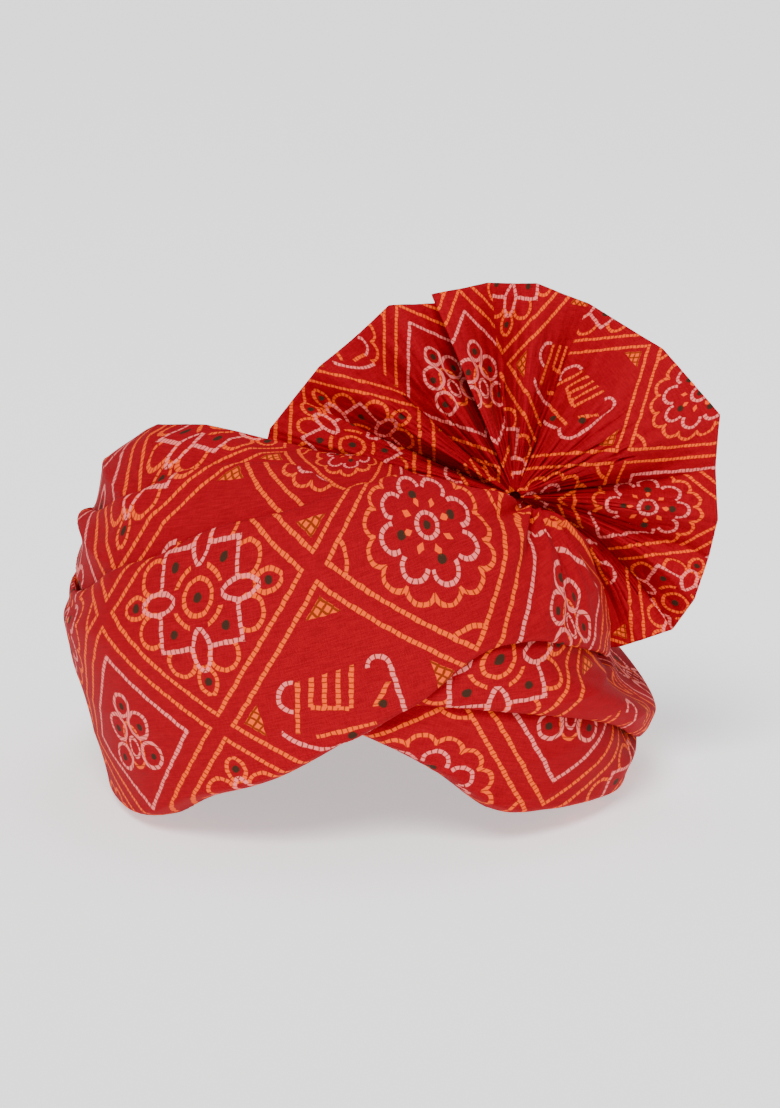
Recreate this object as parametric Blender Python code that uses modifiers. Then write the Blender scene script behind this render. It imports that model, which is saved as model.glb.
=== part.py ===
"""Ready-tied turban of printed tie-dye cloth: wound inner turns that hold the head hollow, two wraps that
cross from low on the right to high on the left, a broad front wrap over them, and a pleated fan tucked in
at the top.

Metres, +Z up, front towards -Y. The origin is under the middle of the whole thing, where it stands.
"""

import math

import bpy
import numpy as np

# Head hollow
HOLLOW_HALF_WIDTH = 0.081
HOLLOW_HALF_DEPTH = 0.100
HOLLOW_HEIGHT = 0.130
HOLLOW_POWER = 3.0

# Wound inner turns around the hollow
INNER_WALL_SIDE = 0.019
INNER_WALL_CROWN = 0.010
DOME_POWER = 3.75
WRAP_POWER = 4.0
RIM_TUCK = 0.020

# Wraps: the depths in the tables below are shares of WRAP_DEPTH
WRAP_DEPTH = 0.040
THINNEST_WRAP = 0.0028
LAYER_GAP = 0.0006
EDGE_ROLL = 0.0065

# Pleated fan
FAN_RADIUS = 0.0935
FAN_WALL = 0.0015
FAN_EYE_WALL_SHARE = 0.12
FAN_LEAN = 13.0
FAN_EYE_RADIUS = 0.009
FAN_DISH = 0.40
FAN_DROOP = 0.60
PLEAT_DEPTH = 0.0085

# Where the fan is gathered, from the middle of the hollow at its rim
GATHER_RIGHT = 0.0667
GATHER_FORWARD = 0.0604
GATHER_HEIGHT = 0.1416

# Gathered root that fills the fan's eye and runs back to lie on the inner turns
ROOT_CLEARANCE = 0.0003
ROOT_LENGTH = 0.036

# The hollow's middle, from the origin: it brings the whole thing's middle over the origin
BODY_RIGHT = -0.0126
BODY_BACK = -0.0050

# The plan of every layer is this power of an oval: two is an ellipse, more is squarer
OVAL_POWER = 2.2

SECTIONS = 48
GRID_PER_SECTION = 8
GRID_SHARES = 241
ACROSS_OUTER = 11
ACROSS_INNER = 12
DOME_RINGS = 10
FAN_STEPS_PER_FOLD = 4
FAN_RINGS = 7
ROOT_SIDES = 14

INNER_HALF_WIDTH = HOLLOW_HALF_WIDTH + INNER_WALL_SIDE
INNER_HALF_DEPTH = HOLLOW_HALF_DEPTH + INNER_WALL_SIDE
INNER_HEIGHT = HOLLOW_HEIGHT + INNER_WALL_CROWN
ROOT_RADIUS = FAN_EYE_RADIUS - ROOT_CLEARANCE

# Each row is one section of a wrap. Azimuth is in degrees from the front, positive to the right.
# low and high are its edges, as shares of the way from the rim up to the crown.
# The depths are shares of WRAP_DEPTH over the inner turns. crest_at is where the crest lies between the edges.
WRAP_COLUMNS = ("azimuth", "low", "high", "low_depth", "crest_depth", "high_depth", "crest_at")

INNER_CROSS_ROWS = (
    (-180, 0.20, 0.50, 0.30, 0.42, 0.36, 0.60),
    (-150, 0.26, 0.51, 0.36, 0.60, 0.50, 0.66),
    (-120, 0.32, 0.55, 0.46, 0.86, 0.74, 0.74),
    (-90, 0.34, 0.645, 0.50, 1.00, 0.92, 0.76),
    (-75, 0.34, 0.685, 0.48, 0.95, 0.88, 0.80),
    (-60, 0.33, 0.735, 0.44, 0.82, 0.76, 0.80),
    (-45, 0.31, 0.80, 0.38, 0.62, 0.56, 0.80),
    (-20, 0.28, 0.855, 0.32, 0.46, 0.42, 0.80),
    (0, 0.238, 0.85, 0.34, 0.32, 0.40, 0.60),
    (15, 0.158, 0.81, 0.36, 0.34, 0.36, 0.30),
    (27, 0.070, 0.74, 0.38, 0.42, 0.34, 0.20),
    (40, 0.045, 0.645, 0.40, 0.50, 0.28, 0.18),
    (55, 0.026, 0.550, 0.42, 0.56, 0.16, 0.18),
    (66, 0.010, 0.400, 0.44, 0.60, 0.12, 0.18),
    (76, 0.000, 0.260, 0.44, 0.60, 0.20, 0.30),
    (90, 0.000, 0.235, 0.46, 0.60, 0.26, 0.35),
    (120, 0.000, 0.28, 0.46, 0.58, 0.26, 0.35),
    (150, 0.080, 0.48, 0.38, 0.48, 0.28, 0.45),
)

OUTER_CROSS_ROWS = (
    (-180, 0.15, 0.46, 0.50, 0.62, 0.52, 0.50),
    (-150, 0.18, 0.45, 0.52, 0.70, 0.62, 0.60),
    (-120, 0.20, 0.46, 0.52, 0.80, 0.76, 0.70),
    (-90, 0.21, 0.50, 0.50, 0.82, 0.82, 0.74),
    (-75, 0.22, 0.525, 0.50, 0.84, 0.82, 0.76),
    (-60, 0.25, 0.575, 0.52, 0.80, 0.76, 0.80),
    (-45, 0.28, 0.655, 0.50, 0.68, 0.64, 0.80),
    (-20, 0.30, 0.71, 0.44, 0.54, 0.52, 0.80),
    (0, 0.310, 0.655, 0.44, 0.50, 0.48, 0.60),
    (17, 0.292, 0.62, 0.50, 0.54, 0.46, 0.35),
    (30, 0.268, 0.520, 0.58, 0.64, 0.38, 0.22),
    (44, 0.233, 0.400, 0.66, 0.74, 0.34, 0.25),
    (58, 0.187, 0.335, 0.70, 0.80, 0.26, 0.24),
    (72, 0.130, 0.275, 0.70, 0.80, 0.30, 0.32),
    (80, 0.105, 0.255, 0.70, 0.82, 0.36, 0.36),
    (95, 0.095, 0.250, 0.70, 0.82, 0.34, 0.34),
    (120, 0.095, 0.31, 0.66, 0.78, 0.44, 0.40),
    (150, 0.120, 0.43, 0.56, 0.66, 0.40, 0.45),
)

FRONT_ROWS = (
    (-180, 0.000, 0.42, 0.46, 0.82, 0.70, 0.60),
    (-150, 0.000, 0.40, 0.40, 0.86, 0.80, 0.72),
    (-120, 0.000, 0.385, 0.34, 0.90, 0.86, 0.86),
    (-90, 0.000, 0.390, 0.32, 0.90, 0.80, 0.86),
    (-70, 0.000, 0.408, 0.36, 0.90, 0.82, 0.86),
    (-52, 0.006, 0.480, 0.42, 0.88, 0.82, 0.75),
    (-43, 0.030, 0.510, 0.48, 0.80, 0.76, 0.68),
    (-33, 0.082, 0.558, 0.52, 0.72, 0.70, 0.60),
    (-15, 0.154, 0.608, 0.55, 0.64, 0.64, 0.50),
    (0, 0.246, 0.665, 0.56, 0.62, 0.60, 0.50),
    (11, 0.312, 0.690, 0.60, 0.62, 0.60, 0.50),
    (20, 0.378, 0.680, 0.60, 0.63, 0.60, 0.50),
    (32, 0.392, 0.648, 0.58, 0.62, 0.56, 0.45),
    (45, 0.362, 0.603, 0.54, 0.58, 0.52, 0.45),
    (60, 0.318, 0.560, 0.48, 0.50, 0.46, 0.45),
    (70, 0.290, 0.500, 0.38, 0.42, 0.36, 0.45),
    (76, 0.286, 0.420, 0.22, 0.25, 0.22, 0.45),
    (83, 0.284, 0.360, 0.15, 0.16, 0.15, 0.45),
    (95, 0.280, 0.350, 0.15, 0.16, 0.15, 0.45),
    (112, 0.275, 0.370, 0.32, 0.36, 0.30, 0.50),
    (130, 0.150, 0.40, 0.66, 0.72, 0.52, 0.50),
    (155, 0.040, 0.42, 0.56, 0.82, 0.64, 0.55),
)

# Each row is one fold line of the fan, from its left end round over the top to its lower right.
# Angle is in degrees in the fan's own plane, anticlockwise from the right. crest is how far the fold stands
# forward or, below zero, lies back, as a share of PLEAT_DEPTH. rim is its length as a share of FAN_RADIUS.
# sweep is how far the fan runs back for each metre out from the gather, near the gather.
FAN_COLUMNS = ("angle", "crest", "rim", "sweep")

FAN_ROWS = (
    (173, 0.20, 1.20, 0.50),
    (164, 0.60, 1.19, 0.48),
    (155, -0.70, 1.13, 0.44),
    (146, 0.60, 1.10, 0.40),
    (136, -0.50, 1.06, 0.35),
    (123, 0.70, 1.07, 0.30),
    (112, -0.80, 0.96, 0.26),
    (104, 0.50, 1.02, 0.24),
    (96, -0.50, 1.01, 0.22),
    (83, 0.70, 1.00, 0.20),
    (69, -0.70, 0.97, 0.20),
    (45, 0.50, 0.98, 0.24),
    (22, 0.40, 1.04, 0.32),
    (8, -0.70, 0.96, 0.42),
    (-6, 0.50, 0.97, 0.54),
    (-17, -0.40, 0.97, 0.66),
    (-29, 0.50, 0.99, 0.80),
    (-39, -0.40, 0.99, 0.94),
    (-47, 0.40, 0.92, 1.04),
    (-53, -0.10, 0.85, 1.08),
)

# Each row is one section of the root, from the fan's eye back to its tail, as shares of ROOT_LENGTH and
# ROOT_RADIUS. seat is how far it has come down from the fan's axis, at 0, to the inner turns, at 1.
ROOT_COLUMNS = ("back", "half_width", "half_height", "seat")

ROOT_ROWS = (
    (-0.10, 0.45, 0.45, 0.0),
    (-0.04, 0.85, 0.85, 0.0),
    (0.08, 1.00, 1.00, 0.0),
    (0.34, 1.00, 1.00, 0.0),
    (0.60, 0.95, 0.90, 0.5),
    (0.80, 0.90, 0.75, 1.0),
    (0.95, 0.75, 0.55, 1.0),
    (1.00, 0.40, 0.30, 1.0),
)


def column(rows, columns, name):
    return np.array([row[columns.index(name)] for row in rows], float)


def smooth_through(knots, values, at, period=None):
    """A cubic through the knots with their neighbours' tangents, closed on itself where a period is given."""
    knots = np.asarray(knots, float)
    values = np.asarray(values, float)
    at = np.asarray(at, float)
    if period:
        at = (at - knots[0]) % period + knots[0]
        knots = np.concatenate([[knots[-1] - period], knots, knots[:2] + period])
        values = np.concatenate([[values[-1]], values, values[:2]])
    slopes = np.gradient(values, knots)
    i = np.clip(np.searchsorted(knots, at, side="right") - 1, 0, len(knots) - 2)
    span = knots[i + 1] - knots[i]
    s = (at - knots[i]) / span
    start = values[i] * (1 + 2 * s) * (1 - s) ** 2 + slopes[i] * span * s * (1 - s) ** 2
    end = values[i + 1] * s * s * (3 - 2 * s) + slopes[i + 1] * span * s * s * (s - 1)
    return start + end


def dome_curve(half_width, height, power):
    """Shares of the way from rim to crown, the angle of the dome's curve at each, and the whole length."""
    angles = np.linspace(0, math.pi / 2, 1201)
    across = half_width * np.cos(angles) ** (2 / power)
    up = height * np.sin(angles) ** (2 / power)
    way = np.concatenate([[0], np.cumsum(np.hypot(np.diff(across), np.diff(up)))])
    return way / way[-1], angles, way[-1]


INNER_CURVE = dome_curve((INNER_HALF_WIDTH + INNER_HALF_DEPTH) / 2, INNER_HEIGHT, WRAP_POWER)
HOLLOW_CURVE = dome_curve((HOLLOW_HALF_WIDTH + HOLLOW_HALF_DEPTH) / 2, HOLLOW_HEIGHT, HOLLOW_POWER)
CLIMB = INNER_CURVE[2]


def oval_radius(azimuth, half_width, half_depth):
    across = np.abs(np.sin(azimuth)) / half_width
    along = np.abs(np.cos(azimuth)) / half_depth
    return (across**OVAL_POWER + along**OVAL_POWER) ** (-1 / OVAL_POWER)


def dome_point(azimuth, share, depth=0.0, power=WRAP_POWER):
    """A point over the inner turns: azimuth in radians, share of the way up, depth out along the normal."""
    shares, angles, _ = INNER_CURVE
    angle = np.interp(share, shares, angles)
    out = np.maximum(np.cos(angle), 1e-9) ** (2 / power)
    up = np.maximum(np.sin(angle), 0.0) ** (2 / power)
    radius = oval_radius(azimuth, INNER_HALF_WIDTH, INNER_HALF_DEPTH)
    lean_out = out ** (power - 1) / radius
    lean_up = up ** (power - 1) / INNER_HEIGHT
    size = np.hypot(lean_out, lean_up)
    reach = radius * out + depth * lean_out / size
    level = INNER_HEIGHT * up + depth * lean_up / size
    return np.stack(np.broadcast_arrays(reach * np.sin(azimuth), -reach * np.cos(azimuth), level), -1)


def hollow_point(azimuth, share):
    shares, angles, _ = HOLLOW_CURVE
    angle = np.interp(share, shares, angles)
    reach = oval_radius(azimuth, HOLLOW_HALF_WIDTH, HOLLOW_HALF_DEPTH) * np.cos(angle) ** (2 / HOLLOW_POWER)
    level = HOLLOW_HEIGHT * np.sin(angle) ** (2 / HOLLOW_POWER)
    return np.stack(np.broadcast_arrays(reach * np.sin(azimuth), -reach * np.cos(azimuth), level), -1)


GRID_AZIMUTHS = np.radians(np.arange(SECTIONS * GRID_PER_SECTION) * 360 / (SECTIONS * GRID_PER_SECTION) - 180)
SHARES = np.linspace(0, 1, GRID_SHARES)


def highest_near(heights, reach_round, reach_up):
    """The highest value within so many grid steps each way: nothing between two sections pokes through it."""
    around = heights
    for step in range(1, reach_round + 1):
        around = np.maximum(around, np.maximum(np.roll(heights, step, 0), np.roll(heights, -step, 0)))
    highest = around.copy()
    for step in range(1, reach_up.max() + 1):
        near = (reach_up >= step)[:, None] * around
        highest[:, step:] = np.maximum(highest[:, step:], near[:, :-step])
        highest[:, :-step] = np.maximum(highest[:, :-step], near[:, step:])
    return highest


class Wrap:
    """One turn of cloth round the head: its depth over the inner turns on a grid of azimuths and shares."""

    def __init__(self, rows, below=()):
        degrees = np.degrees(GRID_AZIMUTHS)
        knots = column(rows, WRAP_COLUMNS, "azimuth")
        self.values = {}
        for name in WRAP_COLUMNS[1:]:
            self.values[name] = smooth_through(knots, column(rows, WRAP_COLUMNS, name), degrees, period=360)
        self.low = np.maximum(self.values["low"], 0.0)
        self.high = self.values["high"]
        under = np.zeros((len(GRID_AZIMUTHS), GRID_SHARES))
        for wrap in below:
            under = np.maximum(under, wrap.heights)
        reach_up = np.ceil((self.high - self.low) / (ACROSS_INNER + 1) * GRID_SHARES).astype(int)
        self.floor = highest_near(under, GRID_PER_SECTION, reach_up) + LAYER_GAP
        self.heights = np.zeros_like(under)
        for i in range(len(GRID_AZIMUTHS)):
            inside = (SHARES >= self.low[i]) & (SHARES <= self.high[i])
            self.heights[i, inside] = self.outer(i, SHARES[inside]) + LAYER_GAP

    def inner(self, i, share):
        return np.interp(share, SHARES, self.floor[i])

    def outer(self, i, share):
        """Outer depth at grid azimuth i, rolled in to the layer below at both edges."""
        low_depth, crest, high_depth, at = (
            self.values[name][i] for name in ("low_depth", "crest_depth", "high_depth", "crest_at"))
        width = self.high[i] - self.low[i]
        across = np.clip((share - self.low[i]) / width, 0, 1)
        rising = low_depth + (crest - low_depth) * np.clip(across / at, 0, 1) ** 1.2
        past = np.clip((across - at) / (1 - at), 0, 1) * math.pi / 2
        falling = high_depth + (crest - high_depth) * np.cos(past) ** 4
        floor = self.inner(i, share)
        crown = np.maximum(np.where(across < at, rising, falling) * WRAP_DEPTH, floor + THINNEST_WRAP)
        edge = np.clip(np.minimum(across, 1 - across) * width * CLIMB / EDGE_ROLL, 0, 1)
        return floor + (crown - floor) * np.sqrt(1 - (1 - edge) ** 2)


INNER_CROSS = Wrap(INNER_CROSS_ROWS)
OUTER_CROSS = Wrap(OUTER_CROSS_ROWS, below=(INNER_CROSS,))
FRONT = Wrap(FRONT_ROWS, below=(INNER_CROSS, OUTER_CROSS))


def finished_mesh(name, points, faces):
    mesh = bpy.data.meshes.new(name)
    mesh.from_pydata([tuple(p) for p in points], [], faces)
    mesh.update()
    mesh.shade_smooth()
    mesh.set_sharp_from_angle(angle=math.radians(40))
    return bpy.data.objects.new(name, mesh)


def ring_faces(sections, around, closed):
    """Faces between loops of points: round each loop, and from each loop to the next."""
    faces = []
    for i in range(sections if closed else sections - 1):
        for j in range(around):
            k, m = (i + 1) % sections, (j + 1) % around
            faces.append((i * around + j, k * around + j, k * around + m, i * around + m))
    return faces


def wrap_object(name, wrap):
    spread = (1 - np.cos(np.linspace(0, math.pi, ACROSS_OUTER))) / 2
    loops = []
    for i in range(0, len(GRID_AZIMUTHS), GRID_PER_SECTION):
        low, high = wrap.low[i], wrap.high[i]
        upward = low + (high - low) * spread
        downward = np.linspace(high, low, ACROSS_INNER + 2)[1:-1]
        outer = dome_point(GRID_AZIMUTHS[i], upward, wrap.outer(i, upward))
        inner = dome_point(GRID_AZIMUTHS[i], downward, wrap.inner(i, downward))
        loop = np.concatenate([outer, inner])
        loop[:, 2] = np.maximum(loop[:, 2], 0.0)
        loops.append(loop)
    loops = np.array(loops)
    return finished_mesh(name, loops.reshape(-1, 3), ring_faces(*loops.shape[:2], closed=True))


def inner_turns_object(name):
    """A closed dome with a wall. Its rim stays hidden just above the lowest edge of the wraps."""
    azimuths = GRID_AZIMUTHS[::GRID_PER_SECTION]
    lowest = np.minimum(INNER_CROSS.low, FRONT.low)[::GRID_PER_SECTION]
    rims = np.where(lowest > 0.001, lowest + RIM_TUCK * np.clip(lowest / 0.03, 0, 1), 0.0)
    steps = np.linspace(0, 1, DOME_RINGS + 1)[:-1]
    points = []
    for step in steps:
        points.extend(dome_point(azimuths, rims + (0.97 - rims) * step, power=DOME_POWER))
    points.append(dome_point(0.0, 1.0))
    for step in steps:
        points.extend(hollow_point(azimuths, rims + (0.97 - rims) * step))
    points.append(hollow_point(0.0, 1.0))
    crown = DOME_RINGS * SECTIONS
    inside = crown + 1
    hollow_crown = inside + crown
    faces = []
    for i in range(SECTIONS):
        k = (i + 1) % SECTIONS
        for ring in range(DOME_RINGS - 1):
            here, above = ring * SECTIONS, (ring + 1) * SECTIONS
            faces.append((here + i, here + k, above + k, above + i))
            faces.append((inside + here + k, inside + here + i, inside + above + i, inside + above + k))
        last = (DOME_RINGS - 1) * SECTIONS
        faces.append((last + i, last + k, crown))
        faces.append((inside + last + k, inside + last + i, hollow_crown))
        faces.append((k, i, inside + i, inside + k))
    return finished_mesh(name, points, faces)


def fan_place(right, up, back):
    """A point of the fan's own plane, which leans back from the gather."""
    lean = math.radians(FAN_LEAN)
    return np.stack([
        GATHER_RIGHT + right,
        -GATHER_FORWARD + up * math.sin(lean) + back * math.cos(lean),
        GATHER_HEIGHT + up * math.cos(lean) - back * math.sin(lean),
    ], -1)


def fan_point(angle, out):
    """The fan's middle surface: angle in degrees at the rim, and out from 0 at the eye to 1 at the rim."""
    knots = column(FAN_ROWS, FAN_COLUMNS, "angle")[::-1]
    crest, rim, sweep = (smooth_through(knots, column(FAN_ROWS, FAN_COLUMNS, name)[::-1], angle)
                         for name in ("crest", "rim", "sweep"))
    reach = FAN_EYE_RADIUS + (rim * FAN_RADIUS - FAN_EYE_RADIUS) * out
    droop = np.where(angle < 0, 1 - FAN_DROOP * (1 - out), 1.0)
    pleat = PLEAT_DEPTH * (np.sin(math.pi * out) + 0.3 * out) * droop
    behind = sweep * reach * (1 - FAN_DISH * out**2) - crest * pleat
    heading = np.radians(angle * droop)
    return fan_place(reach * np.cos(heading), reach * np.sin(heading), behind)


def fan_object(name):
    knots = column(FAN_ROWS, FAN_COLUMNS, "angle")
    steps = np.arange((len(knots) - 1) * FAN_STEPS_PER_FOLD + 1) / FAN_STEPS_PER_FOLD
    angles = np.interp(steps, np.arange(len(knots)), knots)
    points = np.concatenate([fan_point(angles, out) for out in np.linspace(0, 1, FAN_RINGS)])
    count = len(angles)
    faces = []
    for ring in range(FAN_RINGS - 1):
        for i in range(count - 1):
            here = ring * count + i
            faces.append((here, here + 1, here + count + 1, here + count))
    fan = finished_mesh(name, points, faces)
    wall = fan.vertex_groups.new(name="wall")
    for ring in range(FAN_RINGS):
        inside_ring = list(range(ring * count, (ring + 1) * count))
        wall.add(inside_ring, min(1.0, 2 * ring / (FAN_RINGS - 1)), "REPLACE")
    shell = fan.modifiers.new("cloth wall", "SOLIDIFY")
    shell.thickness = FAN_WALL
    shell.offset = 0.0
    shell.vertex_group = wall.name
    shell.thickness_vertex_group = FAN_EYE_WALL_SHARE
    return fan


def inner_turns_level(points):
    """How high the inner turns' top is, straight under or over each point."""
    azimuth = np.arctan2(points[:, 0], -points[:, 1])
    out = np.hypot(points[:, 0], points[:, 1]) / oval_radius(azimuth, INNER_HALF_WIDTH, INNER_HALF_DEPTH)
    return INNER_HEIGHT * (1 - np.clip(out, 0, 1) ** DOME_POWER) ** (1 / DOME_POWER)


def fan_root_object(name):
    """The gathered cloth behind the front wrap: it fills the fan's eye and lies back on the inner turns."""
    turns = np.arange(ROOT_SIDES) * 2 * math.pi / ROOT_SIDES
    points = []
    for back, half_width, half_height, seat in ROOT_ROWS:
        right = half_width * ROOT_RADIUS * np.cos(turns)
        up = half_height * ROOT_RADIUS * np.sin(turns)
        section = fan_place(right, up, np.full(ROOT_SIDES, back * ROOT_LENGTH))
        clear = (section[:, 2] - inner_turns_level(section)).min() - ROOT_CLEARANCE
        section[:, 2] -= seat * clear
        points.extend(section)
    faces = ring_faces(len(ROOT_ROWS), ROOT_SIDES, closed=False)
    last = (len(ROOT_ROWS) - 1) * ROOT_SIDES
    faces.append(tuple(range(ROOT_SIDES)))
    faces.append(tuple(range(last + ROOT_SIDES - 1, last - 1, -1)))
    return finished_mesh(name, points, faces)


def cloth(name, colour, roughness):
    material = bpy.data.materials.new(name)
    material.use_nodes = True
    shader = material.node_tree.nodes["Principled BSDF"]
    shader.inputs["Base Color"].default_value = (*colour, 1.0)
    shader.inputs["Roughness"].default_value = roughness
    shader.inputs["Metallic"].default_value = 0.0
    return material


def main():
    for old in list(bpy.data.objects):
        bpy.data.objects.remove(old)
    turban = bpy.data.collections.new("turban")
    bpy.context.scene.collection.children.link(turban)
    body = bpy.data.objects.new("turban_body", None)
    body.location = (BODY_RIGHT, BODY_BACK, 0.0)
    turban.objects.link(body)

    red = (0.62, 0.02, 0.03)
    pieces = (
        (inner_turns_object("inner_turns"), cloth("plain red cotton", (0.50, 0.02, 0.03), 0.85)),
        (wrap_object("inner_cross_wrap", INNER_CROSS), cloth("printed red cotton inner", red, 0.8)),
        (wrap_object("outer_cross_wrap", OUTER_CROSS), cloth("printed red cotton outer", red, 0.8)),
        (wrap_object("front_wrap", FRONT), cloth("printed red cotton front", red, 0.8)),
        (fan_object("pleated_fan"), cloth("printed red cotton fan", red, 0.75)),
        (fan_root_object("fan_root"), cloth("printed red cotton root", red, 0.8)),
    )
    for piece, material in pieces:
        piece.data.materials.append(material)
        turban.objects.link(piece)
        piece.parent = body


main()
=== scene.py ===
# %% [markdown]
# # A ready-tied turban in printed tie-dye cotton
#
# The real thing is one long scarf, folded into a band and wound round a former. The band crosses itself at
# the front, its last turn lies over the rest, and its free end is pleated into a fan and tucked in at the
# top. This lesson loads the solid model as a frame, then makes each turn of cloth again as a fine mesh,
# with its folds, its print and its weave. Lengths are in metres, with the front towards -Y.

# %% The frame and its box
import math

import bpy
import numpy as np
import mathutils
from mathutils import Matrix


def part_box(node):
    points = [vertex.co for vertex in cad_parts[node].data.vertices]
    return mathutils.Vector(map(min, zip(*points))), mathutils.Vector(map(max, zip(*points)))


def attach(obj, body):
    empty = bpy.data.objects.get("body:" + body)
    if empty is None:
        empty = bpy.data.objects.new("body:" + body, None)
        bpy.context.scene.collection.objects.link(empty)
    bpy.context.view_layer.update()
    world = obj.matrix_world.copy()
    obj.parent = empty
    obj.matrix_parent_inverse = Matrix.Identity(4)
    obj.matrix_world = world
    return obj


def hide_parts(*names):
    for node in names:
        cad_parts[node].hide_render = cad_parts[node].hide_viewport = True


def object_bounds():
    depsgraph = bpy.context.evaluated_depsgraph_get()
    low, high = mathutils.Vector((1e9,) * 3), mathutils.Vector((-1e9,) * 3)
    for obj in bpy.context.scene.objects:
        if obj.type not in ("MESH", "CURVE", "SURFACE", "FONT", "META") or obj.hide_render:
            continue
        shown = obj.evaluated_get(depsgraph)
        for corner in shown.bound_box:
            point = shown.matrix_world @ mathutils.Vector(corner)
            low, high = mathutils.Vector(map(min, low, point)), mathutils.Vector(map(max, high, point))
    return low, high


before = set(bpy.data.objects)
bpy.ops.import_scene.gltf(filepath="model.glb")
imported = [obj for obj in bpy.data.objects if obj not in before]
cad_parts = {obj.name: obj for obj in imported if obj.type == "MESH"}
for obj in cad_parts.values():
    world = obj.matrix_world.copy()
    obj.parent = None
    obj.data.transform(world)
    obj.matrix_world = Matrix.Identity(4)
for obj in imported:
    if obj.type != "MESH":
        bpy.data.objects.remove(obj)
frame_low, frame_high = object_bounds()
print("solid pieces:", ", ".join(sorted(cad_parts)))
print("box in mm:", [round(1000 * x, 1) for x in frame_high - frame_low])

# %% [markdown]
# ## Where everything is measured from
#
# Every turn goes round the hollow for the head, so its middle is the natural place to measure from. The
# wound inner turns are even on both sides of that middle, and their box gives it without a copied number.

# %% The middle of the hollow
INNER_HALF_WIDTH = 0.100
INNER_HALF_DEPTH = 0.119
INNER_HEIGHT = 0.140
turns_low, turns_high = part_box("inner_turns")
MIDDLE = np.array([(turns_low.x + turns_high.x) / 2, turns_high.y - INNER_HALF_DEPTH, 0.0])
print("middle of the hollow in mm:", (MIDDLE * 1000).round(2))

# %% [markdown]
# ## The camera
#
# The picture looks at the front from a little above, through a long lens. The aim is a point at the height
# of the crossing. The distance and the focal length go together: a 130 mm lens at 1.8 m makes the turban
# fill the frame, with very little perspective.

# %% Camera
def add_object(name, data):
    made = bpy.data.objects.new(name, data)
    bpy.context.scene.collection.objects.link(made)
    return made


def look_at(thing, target):
    """Turns a camera or a light so that it faces a point."""
    thing.rotation_mode = "QUATERNION"
    away = thing.location - target
    thing.rotation_quaternion = away.to_track_quat("Z", "Y")


Vector = type(frame_low)
aim = Vector(MIDDLE + np.array([0.0126, 0.0, 0.1023]))
CAMERA_DISTANCE = 1.8
CAMERA_HEIGHT_ANGLE = math.radians(13)
lens = bpy.data.cameras.new("camera")
lens.lens = 130
lens.sensor_width = 36
lens.clip_start = 0.05
camera = add_object("camera", lens)
back_and_up = Vector((0, -math.cos(CAMERA_HEIGHT_ANGLE), math.sin(CAMERA_HEIGHT_ANGLE)))
camera.location = aim + back_and_up * CAMERA_DISTANCE
look_at(camera, aim)
bpy.context.scene.camera = camera
print("camera at", [round(x, 3) for x in camera.location])

# %% [markdown]
# ## Working out a material in plain maths
#
# A print is easier to write as a sum than to draw as boxes and wires. The class below wraps the output of a
# node, so that ordinary operators add the Math nodes. The same class serves the fan's Geometry Nodes tree
# later, because both kinds of tree use the same Math node.

# %% Maths on sockets
def as_method(operation, swapped=False):
    """A Math node as a method. It is swapped where a plain number stands on the left of an operator."""
    return lambda self, *others: self.math(operation, *others, swapped=swapped)


class Quantity:
    """A number, colour or vector on its way through a node tree."""

    def __init__(self, tree, socket=None):
        self.tree = tree
        self.socket = socket

    def node(self, kind, settings, values, output=0):
        """Any node: its settings are set first, then each socket in values gets a link or a number."""
        made = self.tree.nodes.new(kind)
        for name, setting in settings.items():
            setattr(made, name, setting)
        for key, value in values.items():
            if isinstance(value, Quantity):
                self.tree.links.new(value.socket, made.inputs[key])
            else:
                made.inputs[key].default_value = value
        return Quantity(self.tree, made.outputs[output])

    def math(self, operation, *others, swapped=False, clamp=False):
        """A Math node. This quantity is its first value, or its last one where swapped is set."""
        values = (*others, self) if swapped else (self, *others)
        settings = {"operation": operation, "use_clamp": clamp}
        return self.node("ShaderNodeMath", settings, dict(enumerate(values)))

    def vector_math(self, operation, *others, output=0):
        values = dict(enumerate((self, *others)))
        return self.node("ShaderNodeVectorMath", {"operation": operation}, values, output)

    def noise(self, scale=1.0, detail=2.0, dimensions="2D", output=0):
        """Noise at the place that this vector gives. Output 0 is its value and output 1 its colour."""
        values = {"Vector": self, "Scale": scale, "Detail": detail}
        return self.node("ShaderNodeTexNoise", {"noise_dimensions": dimensions}, values, output)

    __add__, __radd__ = as_method("ADD"), as_method("ADD", swapped=True)
    __sub__, __rsub__ = as_method("SUBTRACT"), as_method("SUBTRACT", swapped=True)
    __mul__, __rmul__ = as_method("MULTIPLY"), as_method("MULTIPLY", swapped=True)
    __abs__, __lt__ = as_method("ABSOLUTE"), as_method("LESS_THAN")
    most, least = as_method("MAXIMUM"), as_method("MINIMUM")
    floor, sine, cosine = as_method("FLOOR"), as_method("SINE"), as_method("COSINE")
    # Up to a reach and back down, again and again: it folds a pattern onto itself.
    to_and_fro = as_method("PINGPONG")

    def join(self, y, z=0.0):
        return self.node("ShaderNodeCombineXYZ", {}, {0: self, 1: y, 2: z})

    def part(self, index):
        return self.node("ShaderNodeSeparateXYZ", {}, {0: self}, index)


def distance(x, y):
    """How far a point is from the place that x and y are measured from."""
    return x.join(y).vector_math("LENGTH", output=1)


def bearing(x, y):
    return y.math("ARCTAN2", x)


print("sockets can now be added, multiplied and compared")

# %% [markdown]
# ## The form under the cloth
#
# Each turn is known by how deep it lies over the inner turns, and the inner turns are a rounded dome on an
# oval plan. So a point of any layer has three numbers: its azimuth from the front, its share of the way
# from the rim up to the crown, and its depth out from the dome. These few functions turn them into places.

# %% Dome and oval
OVAL_POWER = 2.2
DOME_POWER = 3.75
WRAP_POWER = 4.0


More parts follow.
